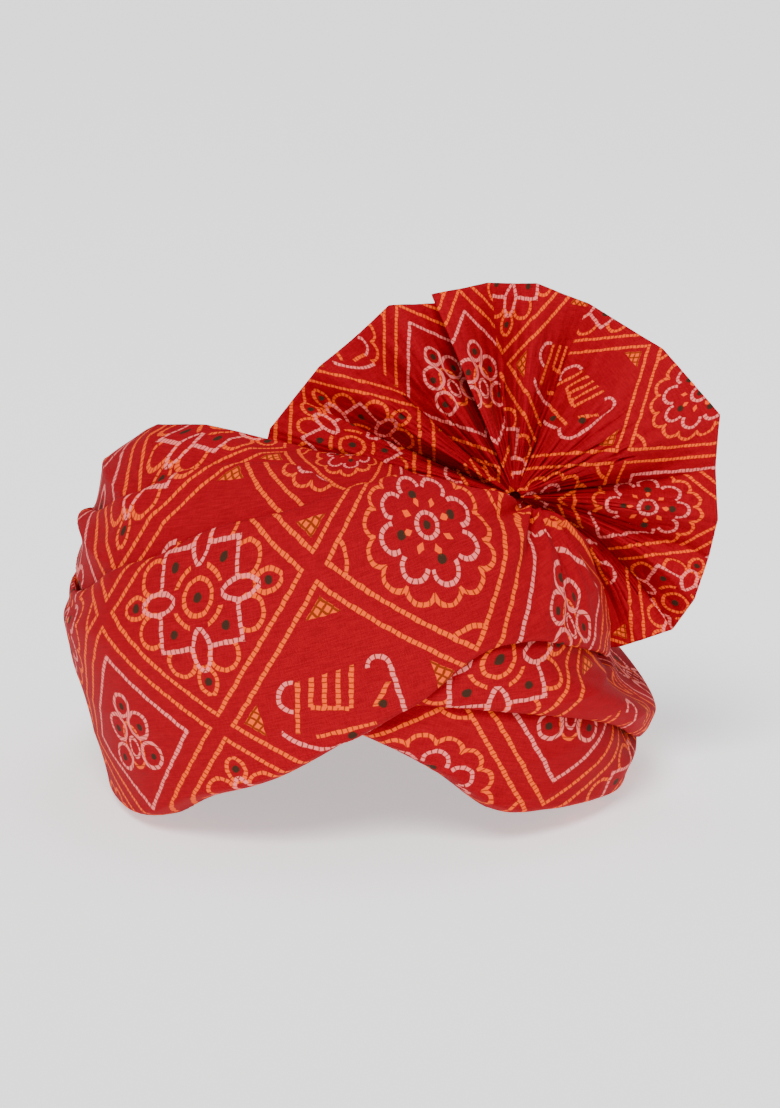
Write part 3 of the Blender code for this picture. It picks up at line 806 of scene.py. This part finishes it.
# %% [markdown]
# The tree below does the pleating. It reads the fold values of each point, works out how far the point
# reaches, how far it leans back and how much its pleat stands forward, and sets its place. Small creases
# run out from the gather and fade towards the starched rim. Its sizes are inputs with names, so the fan can
# be opened, drooped or flattened without touching the tree.

# %% Geometry Nodes for the pleats
GATHER = MIDDLE + np.array([0.0667, -0.0604, 0.1416])
FAN_LEAN = math.radians(13)
FAN_SIZES = {
    "Radius": FAN_RADIUS, "Eye radius": FAN_EYE_RADIUS, "Lean": FAN_LEAN, "Dish": 0.40, "Droop": FAN_DROOP,
    "Pleat depth": 0.0110, "Crease depth": 0.0160, "Crease seed": 4.0}


def pleating_tree():
    tree = bpy.data.node_groups.new("pleated fan", "GeometryNodeTree")
    face = tree.interface
    face.new_socket("Geometry", in_out="INPUT", socket_type="NodeSocketGeometry")
    for name in FAN_SIZES:
        face.new_socket(name, in_out="INPUT", socket_type="NodeSocketFloat")
    face.new_socket("Gather", in_out="INPUT", socket_type="NodeSocketVector")
    face.new_socket("Material", in_out="INPUT", socket_type="NodeSocketMaterial")
    face.new_socket("Geometry", in_out="OUTPUT", socket_type="NodeSocketGeometry")
    group_in = tree.nodes.new("NodeGroupInput")
    given = {socket.name: Quantity(tree, socket) for socket in group_in.outputs if socket.name}
    start = Quantity(tree)

    def kept(name):
        settings = {"data_type": "FLOAT"}
        return start.node("GeometryNodeInputNamedAttribute", settings, {"Name": name})

    angle, crest, rim, sweep, out = (kept(name) for name in ("angle", "crest", "rim", "sweep", "out"))
    reach = given["Eye radius"] + (rim * given["Radius"] - given["Eye radius"]) * out
    held = 1 - (angle < 0.0) * given["Droop"] * (1 - out)
    pleat = given["Pleat depth"] * ((out * math.pi).sine() + 0.3 * out) * held
    behind = sweep * reach * (1 - given["Dish"] * out * out) - crest * pleat
    broad = (angle * 0.16).join(out * 1.6, given["Crease seed"]).noise(detail=3.0, dimensions="3D")
    fine = (angle * 0.9).join(out * 1.1, given["Crease seed"] + 7).noise(detail=1.0, dimensions="3D")
    valley = 0.30 - abs(broad - 0.5).least(0.12) * 2.5
    shallow_at_rim = (out * 5.0).least(1.0) * (1.05 - out) + 0.10 * out
    behind = behind + (valley + (0.5 - fine) * 0.5) * given["Crease depth"] * shallow_at_rim
    heading = angle * held * (math.pi / 180)
    right, up = reach * heading.cosine(), reach * heading.sine()
    lean = given["Lean"]
    gather = given["Gather"]
    x = gather.part(0) + right
    y = gather.part(1) + up * lean.sine() + behind * lean.cosine()
    z = gather.part(2) + up * lean.cosine() - behind * lean.sine()
    moved = {"Geometry": given["Geometry"], "Position": x.join(y, z)}
    placed = start.node("GeometryNodeSetPosition", {}, moved)
    real = start.node("GeometryNodeRealizeInstances", {}, {"Geometry": placed})
    dressed = start.node("GeometryNodeSetMaterial", {}, {"Geometry": real, "Material": given["Material"]})
    group_out = tree.nodes.new("NodeGroupOutput")
    tree.links.new(dressed.socket, group_out.inputs[0])
    return tree


def made_plain(thing):
    """Turns an object and its modifiers into a plain mesh with no modifiers left."""
    graph = bpy.context.evaluated_depsgraph_get()
    mesh = bpy.data.meshes.new_from_object(
        thing.evaluated_get(graph), preserve_all_data_layers=True, depsgraph=graph)
    thing.modifiers.clear()
    thing.data = mesh
    print(f"{thing.name}: {len(mesh.polygons)} faces after its modifiers")
    return thing


FAN_WALL = 0.0012
FAN_EYE_WALL_SHARE = 0.12


def pleated(sheet, material):
    tree = pleating_tree()
    pleats = sheet.modifiers.new("pleats", "NODES")
    pleats.node_group = tree
    sockets = tree.interface.items_tree
    identifiers = {item.name: item.identifier for item in sockets if item.in_out == "INPUT"}
    for name, value in {**FAN_SIZES, "Gather": tuple(GATHER), "Material": material}.items():
        pleats[identifiers[name]] = value
    made_plain(sheet)
    wall = sheet.modifiers.new("cloth wall", "SOLIDIFY")
    wall.thickness = FAN_WALL
    wall.offset = 0.0
    wall.vertex_group = "wall"
    wall.thickness_vertex_group = FAN_EYE_WALL_SHARE
    made_plain(sheet)
    for name in (*fan_values, "out"):
        sheet.data.attributes.remove(sheet.data.attributes[name])
    sheet.data.shade_smooth()
    return sheet


print("fan sizes:", ", ".join(FAN_SIZES))

# %% [markdown]
# ## The gathered root
#
# Behind the fan, its cloth is bunched into a stub that lies back on the inner turns. It hardly shows, but
# it is what the pleats come out of, so it gets ridges of its own.

# %% Root of the fan
ROOT_CLEARANCE = 0.0003
ROOT_LENGTH = 0.036
ROOT_RADIUS = 0.0087
ROOT_SIDES = 120
ROOT_SECTIONS = 40
ROOT_RIDGES = 13
ROOT_RIDGE_DEPTH = 0.09
ROOT_PRINT_STEPS = (0.0006, 0.001)
ROOT_COLUMNS = ("back", "half_width", "half_height", "seat")
ROOT_ROWS = (
    (0.20, 0.45, 0.45, 0.0),
    (0.24, 0.80, 0.80, 0.0),
    (0.29, 0.96, 0.96, 0.0),
    (0.34, 1.00, 1.00, 0.0),
    (0.60, 0.95, 0.90, 0.5),
    (0.80, 0.90, 0.75, 1.0),
    (0.95, 0.75, 0.55, 1.0),
    (1.00, 0.40, 0.30, 1.0),
)


def inner_turns_level(points):
    azimuth = np.arctan2(points[:, 0], -points[:, 1])
    out = np.hypot(points[:, 0], points[:, 1]) / oval_radius(azimuth, INNER_HALF_WIDTH, INNER_HALF_DEPTH)
    return INNER_HEIGHT * (1 - np.clip(out, 0, 1) ** DOME_POWER) ** (1 / DOME_POWER)


def root_object(name):
    turns = np.arange(ROOT_SIDES) * 2 * math.pi / ROOT_SIDES
    steps = np.linspace(0, len(ROOT_ROWS) - 1, ROOT_SECTIONS)
    back, half_width, half_height, seat = (
        np.interp(steps, np.arange(len(ROOT_ROWS)), column(ROOT_ROWS, ROOT_COLUMNS, value))
        for value in ROOT_COLUMNS)
    points = []
    for k in range(ROOT_SECTIONS):
        wave = np.sin(ROOT_RIDGES / 2 * turns + 1.2 * back[k])
        ridge = 1 - ROOT_RIDGE_DEPTH * (1 - np.abs(wave))
        right = half_width[k] * ROOT_RADIUS * np.cos(turns) * ridge
        up = half_height[k] * ROOT_RADIUS * np.sin(turns) * ridge
        behind = back[k] * ROOT_LENGTH
        backwards = up * math.sin(FAN_LEAN) + behind * math.cos(FAN_LEAN)
        upwards = up * math.cos(FAN_LEAN) - behind * math.sin(FAN_LEAN)
        section = np.stack([right, backwards, upwards], -1) + GATHER - MIDDLE
        clear = (section[:, 2] - inner_turns_level(section)).min() - ROOT_CLEARANCE
        section[:, 2] -= seat[k] * clear
        points.append(section)
    corners = grid_corners(ROOT_SECTIONS - 1, ROOT_SIDES)
    faces = np.stack([k * ROOT_SIDES + side % ROOT_SIDES for k, side in corners], -1).tolist()
    coordinates = np.stack([np.stack([side, k], -1) * ROOT_PRINT_STEPS for k, side in corners], 1)
    last = (ROOT_SECTIONS - 1) * ROOT_SIDES
    faces += [[*range(ROOT_SIDES)], [*range(last + ROOT_SIDES - 1, last - 1, -1)]]
    ends = np.zeros((2 * ROOT_SIDES, 2))
    return mesh_object(name, points, faces, np.concatenate([coordinates.reshape(-1, 2), ends]))


root = root_object("fan_root_cloth")

# %% [markdown]
# ## How the print is drawn
#
# Tie-dye of this kind is made of small bright dashes on red, in rows that draw lines, rings and leaves. A
# row is a line in the maths too: how far a point is off the line, and how far along it. Everything here is
# in millimetres of flat cloth. Between two dashes of a row the dye has crept in and left a thin dark gap.

# %% Rows of dashes
INK_EDGE = 0.28


def inside(outside_by):
    """1 inside a shape and 0 outside it, with an edge as soft as dye on cotton."""
    return outside_by.math("MULTIPLY_ADD", -1 / INK_EDGE, 0.5, clamp=True)


class Inks:
    """What has been printed so far, one mask for each ink."""

    def __init__(self):
        self.laid = {}

    def lay(self, ink, mask):
        self.laid[ink] = self.laid[ink].most(mask) if ink in self.laid else mask

    def row(self, ink, off_line, along, only=None, wide=1.9, long=1.9, pitch=2.4):
        """A row of dashes. only is below zero where the row is printed."""
        beside = abs(off_line) - wide / 2
        if only is not None:
            beside = beside.most(only)
        self.lay("gap", inside(beside))
        self.lay(ink, inside(beside.most(along.to_and_fro(pitch / 2) - long / 2)))

    def ring(self, ink, x, y, radius, only=None):
        self.row(ink, distance(x, y) - radius, bearing(x, y) * radius, only)

    def dot(self, x, y, radius):
        self.lay("dark", inside((distance(x, y) - radius) * 0.6))

    def add(self, other, where):
        """Adds another set of inks where a mask is 1."""
        for ink, mask in other.laid.items():
            so_far = self.laid.get(ink, 0.0)
            self.laid[ink] = mask.math("MULTIPLY_ADD", where, so_far)


print("ink edge in mm:", INK_EDGE)

# %% [markdown]
# ## Four cells of the pattern
#
# The cloth is covered by a lattice of squares that stand on their corners. Along the cloth, four kinds of
# square take turns: a round flower, a clover in a white square, a rosette with leaves, and a comb-like
# figure. Each is folded onto itself where it has symmetry, so a whole ring of petals costs no more than one
# petal.

# %% Round flower
def flower(a, b, *_):
    inks = Inks()
    away, turn = distance(a, b), bearing(a, b)
    inks.dot(a, b, 1.9)
    inks.row("white", away - 5.2, turn * 5.2)
    fold = turn.to_and_fro(math.pi / 8)
    x, y = away * fold.cosine(), away * fold.sine()
    inks.ring("white", x - 18.0, y, 5.6, only=16.4 - x)
    inks.lay("orange", inside(abs(x - 10.4) + y * 1.6 - 2.6))
    fold = (turn + math.pi / 4).to_and_fro(math.pi / 4)
    inks.dot(away * fold.cosine() - 14.0, away * fold.sine(), 2.1)
    fold = turn.to_and_fro(math.pi / 14)
    x, y = away * fold.cosine(), away * fold.sine()
    inks.row("orange", distance(x - 25.0, y) - 6.2, turn * 29.0, only=25.4 - x)
    corner_a, corner_b = 40.0 - abs(a), 40.0 - abs(b)
    inks.ring("orange", corner_a, corner_b, 15.0, only=4.4 - corner_a.least(corner_b))
    return inks


# %% Clover in a white square
def clover(a, b, along, across):
    inks = Inks()
    widest = abs(a).most(abs(b))
    inks.row("white", widest - 27.0, abs(a).least(abs(b)))
    side = abs(along)
    top = distance(side, across - 15.5) - 5.4
    upper = distance(side - 8.5, across - 5.0) - 6.6
    lower = distance(side - 11.5, across + 10.5) - 6.6
    inks.row("white", top.least(upper).least(lower), bearing(side, across) * 16.0)
    inks.dot(side, across - 15.0, 1.9)
    inks.dot(side - 9.5, across - 4.0, 1.9)
    inks.dot(side - 12.5, across + 11.0, 1.9)
    arch = distance(side * 1.7, across + 5.0) - 11.5
    inks.row("orange", arch, across)
    inks.row("white", distance(side * 1.6, across + 6.0) - 5.2, across)
    return inks


# %% Rosette with leaves
def rosette(a, b, along, across):
    inks = Inks()
    away, turn = distance(a, b), bearing(a, b)
    inks.dot(a, b, 2.2)
    inks.row("orange", away - 7.2, turn * 7.2)
    inks.row("orange", away - 12.4, turn * 12.4, only=4.6 - abs(along).least(abs(across)))
    far, near = abs(along).most(abs(across)), abs(along).least(abs(across))
    inks.row("white", far - 20.0, near, only=4.8 - near)
    inks.ring("white", far - 21.5, near + 9.0, 13.2, only=abs(far - 21.5) - 9.6)
    inks.ring("orange", far - 34.6, near + 3.4, 7.7, only=abs(far - 34.6) - 7.0)
    inks.dot(far - 35.0, near, 1.9)
    inks.ring("orange", far - 24.6, near - 10.4, 6.8, only=20.8 - far)
    fold_a, fold_b = abs(a).most(abs(b)), abs(a).least(abs(b))
    inks.dot(fold_a - 18.5, fold_b, 2.0)
    return inks


# %% Comb-like figure
def comb(a, b, along, across):
    inks = Inks()
    level = math.radians(16)
    g = along * math.cos(level) - across * math.sin(level)
    h = along * math.sin(level) + across * math.cos(level)
    tine = (g + 20.5).to_and_fro(2.8)
    heights = g * 0.34 + 15.5
    inks.row("orange", tine, h, only=(h - heights).most(-3.0 - h).most(-22.0 - g).most(g - 3.4))
    inks.row("orange", h + 3.2, g, only=abs(g + 7.0) - 8.0)
    inks.row("orange", g + 20.5, h, only=abs(h + 4.0) - 12.0)
    inks.row("orange", g * 0.9 - h * 0.42 - 11.5, h, only=abs(h - 3.4) - 5.6)
    inks.row("orange", across + 13.0, along, only=abs(along + 4.0) - 13.0)
    inks.ring("white", g - 13.0, h - 15.5, 4.6, only=15.0 - h)
    inks.row("white", g * 0.957 + h * 0.29 - 21.6, h, only=abs(h - 4.5) - 11.0)
    inks.ring("white", g - 15.8, h + 7.4, 8.0, only=(h + 6.5).most(12.0 - g))
    inks.ring("white", g + 22.0, h - 1.2, 6.8, only=g + 22.2)
    inks.ring("white", g + 8.0, h - 6.0, 29.0, only=(h + 15.0).most(abs(g + 8.0) - 19.0))
    inks.dot(g - 14.8, h + 1.0, 2.0)
    inks.dot(g - 2.4, h + 16.0, 2.0)
    steps_a, steps_b = abs(a), abs(b)
    grain = (steps_a.to_and_fro(1.65) - 1.15).most(steps_b.to_and_fro(1.65) - 1.15)
    wedge = (53.0 - (steps_a + steps_b)).most(steps_a.most(steps_b) - 32.0)
    inks.lay("gap", inside(wedge))
    inks.lay("orange", inside(grain.most(wedge)))
    return inks


print("cells: round flower, clover in a square, rosette with leaves, comb-like figure")

# %% [markdown]
# ## The cloth itself
#
# The whole print is now one expression of the cloth coordinates. A little noise shifts the coordinates
# first, because the dashes are tied by hand. The cotton is a fine plain weave: two sets of threads that
# cross, with a few thicker ones, and they bear the only bump. The red is never even, as dye pools along the
# threads.

# %% Printed cotton
RED = (0.37, 0.0002, 0.0082, 1)
DEEP_RED = (0.25, 0.0002, 0.0056, 1)
INKS = {
    "gap": ((0.20, 0.035, 0.005, 1), 0.75),
    "orange": ((0.98, 0.085, 0.003, 1), 0.95),
    "white": ((0.98, 0.19, 0.18, 1), 0.93),
    "dark": ((0.022, 0.020, 0.010, 1), 0.92),
}
PRINTED_THREADS_APART = 0.62
LINING_THREADS_APART = 0.8
BY_HAND = 1.1


def mixed(factor, first, second):
    return factor.node("ShaderNodeMix", {"data_type": "RGBA"}, {0: factor, 6: first, 7: second}, 2)


def new_material(name):
    material = bpy.data.materials.new(name)
    material.use_nodes = True
    shader = material.node_tree.nodes["Principled BSDF"]
    shader.inputs["Metallic"].default_value = 0.0
    shader.inputs["Specular IOR Level"].default_value = 0.05
    shader.inputs["Sheen Weight"].default_value = 0.01
    shader.inputs["Sheen Roughness"].default_value = 0.5
    return material, Quantity(material.node_tree), shader


def cloth_millimetres(start):
    cloth = start.node("ShaderNodeUVMap", {"uv_map": "cloth"}, {})
    return cloth.node("ShaderNodeVectorMath", {"operation": "SCALE"}, {0: cloth, "Scale": 1000.0})


def weave(start, cloth, shader, threads_apart):
    """The bump, roughness and uneven red of a plain weave. It gives back the red."""
    tree = start.tree
    x, y = cloth.part(0), cloth.part(1)
    warp = (x * (2 * math.pi / threads_apart)).sine()
    weft = (y * (2 * math.pi / threads_apart)).sine()
    streaks = (x * 0.12).join(y * 1.6).noise()
    slubs = (x * 1.8).join(y * 0.25).noise()
    height = warp * 0.5 + weft * 0.7 + streaks * 1.6 + slubs * 1.2
    bump = start.node("ShaderNodeBump", {}, {"Strength": 0.35, "Distance": 0.00012, "Height": height})
    tree.links.new(bump.socket, shader.inputs["Normal"])
    tree.links.new((0.66 + streaks * 0.18).socket, shader.inputs["Roughness"])
    dye = streaks * 0.6 + slubs * 0.4
    return mixed(dye.math("MULTIPLY_ADD", 2.4, -0.75, clamp=True), DEEP_RED, RED)


def printed_cotton(name):
    material, start, shader = new_material(name)
    tree = material.node_tree
    flat = cloth_millimetres(start)
    by_hand = flat.noise(scale=0.22, detail=1.0, output=1).vector_math("MULTIPLY", (BY_HAND, BY_HAND, 0.0))
    shifted = flat.vector_math("ADD", by_hand)
    x, y = shifted.part(0), shifted.part(1)
    cell = PRINT_CELL * 1000
    p, q = (x - y) * (math.sqrt(0.5) / cell), (x + y) * (math.sqrt(0.5) / cell)
    column_of, row_of = p.floor(), q.floor()
    a, b = (p - column_of - 0.5) * cell, (q - row_of - 0.5) * cell
    kind = (column_of + row_of).math("FLOORED_MODULO", 4.0)
    along, across = (a + b) * math.sqrt(0.5), (b - a) * math.sqrt(0.5)
    inks = Inks()
    widest, nearest = abs(a).most(abs(b)), abs(a).least(abs(b))
    inks.row("orange", widest - 35.8, nearest, only=nearest - 36.6)
    for number, draw in enumerate((flower, clover, rosette, comb)):
        inks.add(draw(a, b, along, across), kind.math("COMPARE", float(number), 0.5))
    colour = weave(start, flat, shader, PRINTED_THREADS_APART)
    for ink, (ink_colour, strength) in INKS.items():
        colour = mixed(inks.laid[ink].math("MULTIPLY", strength, clamp=True), colour, ink_colour)
    tree.links.new(colour.socket, shader.inputs["Base Color"])
    print(f"{name}: {len(tree.nodes)} nodes")
    return material


printed = printed_cotton("tie_dye_cotton")

# %% [markdown]
# The lining is the same cotton without a print. It only has the weave and the uneven red.

# %% Plain lining
def plain_cotton(name):
    material, start, shader = new_material(name)
    red = weave(start, cloth_millimetres(start), shader, LINING_THREADS_APART)
    material.node_tree.links.new(red.socket, shader.inputs["Base Color"])
    return material


lining = plain_cotton("plain_red_cotton")
print("materials:", printed.name, lining.name)

# %% [markdown]
# ## Dressing the frame
#
# Each cloth piece stands for one solid of the frame, and all of them ride on its one body.

# %% Pieces on the frame
fan = pleated(fan, printed)
for piece in (inner_turns, inner_cross_band, outer_cross_band, front_band, root):
    piece.data.materials.append(printed)
inner_turns.data.materials.append(lining)

PIECES = (
    (inner_turns, "inner_turns", "inner_cotton", 0.5),
    (inner_cross_band, "inner_cross_wrap", "printed_cotton", 0.6),
    (outer_cross_band, "outer_cross_wrap", "printed_cotton", 0.6),
    (front_band, "front_wrap", "printed_cotton", 0.6),
    (root, "fan_root", "printed_cotton", 0.8),
    (fan, "pleated_fan", "fan_cotton", None),
)
for piece, node, slot, fill in PIECES:
    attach(piece, "root")
    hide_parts(node)
print("dressed:", ", ".join(piece.name for piece, *_ in PIECES))

# %% [markdown]
# ## Floor and light
#
# The turban stands on a plain pale floor under soft studio light. A broad far light from the front shapes
# the folds, a weak lamp on the right opens the shadows of the fan, and a third lights the top. The sky is
# an even pale grey, so that nothing in the folds goes black. The floor glows faintly, as a white sweep in a
# studio does when it has a light of its own.

# %% Floor and lamps
FLOOR_REACH = 30
FLOOR_GREY = 0.93
FLOOR_GLOW = 0.7
SKY_STRENGTH = 0.35


def light(name, kind, place, size, power):
    """A soft light that faces the turban. The far light's size is an angle and a lamp's is its width."""
    data = bpy.data.lights.new(name, kind)
    data.energy = power
    if kind == "SUN":
        data.angle = size
    else:
        data.shape = "DISK"
        data.size = size
    made = add_object(name, data)
    made.location = place
    look_at(made, aim)


light("key light", "SUN", (-0.22, -1.1, 1.25), math.radians(24), 3.5)
light("fill lamp", "AREA", (1.9, -1.4, 0.7), 1.0, 5)
light("top lamp", "AREA", (0.3, 0.6, 2.0), 1.0, 10)
floor_mesh = bpy.data.meshes.new("floor")
floor_corners = [(FLOOR_REACH * x, FLOOR_REACH * y, 0) for x, y in ((-1, -1), (1, -1), (1, 1), (-1, 1))]
floor_mesh.from_pydata(floor_corners, [], [(0, 1, 2, 3)])
floor = add_object("floor", floor_mesh)
floor_material, _, floor_shader = new_material("pale_floor")
floor_shader.inputs["Base Color"].default_value = (FLOOR_GREY, FLOOR_GREY, FLOOR_GREY, 1)
floor_shader.inputs["Roughness"].default_value = 0.9
floor_shader.inputs["Emission Color"].default_value = (1.0, 1.0, 1.0, 1)
floor_shader.inputs["Emission Strength"].default_value = FLOOR_GLOW
floor_mesh.materials.append(floor_material)
world = bpy.data.worlds.new("studio")
world.use_nodes = True
sky = world.node_tree.nodes["Background"]
sky.inputs["Color"].default_value = (1.0, 1.0, 1.0, 1)
sky.inputs["Strength"].default_value = SKY_STRENGTH
bpy.context.scene.world = world
print("lights:", len(bpy.data.lights))

# %% [markdown]
# ## The size of the solids
#
# The cloth stands a little proud of the solids. The box of the solids is printed in millimetres, its low
# corner first.

print("solids in mm:", [round(1000 * x, 1) for x in (*frame_low, *frame_high)])
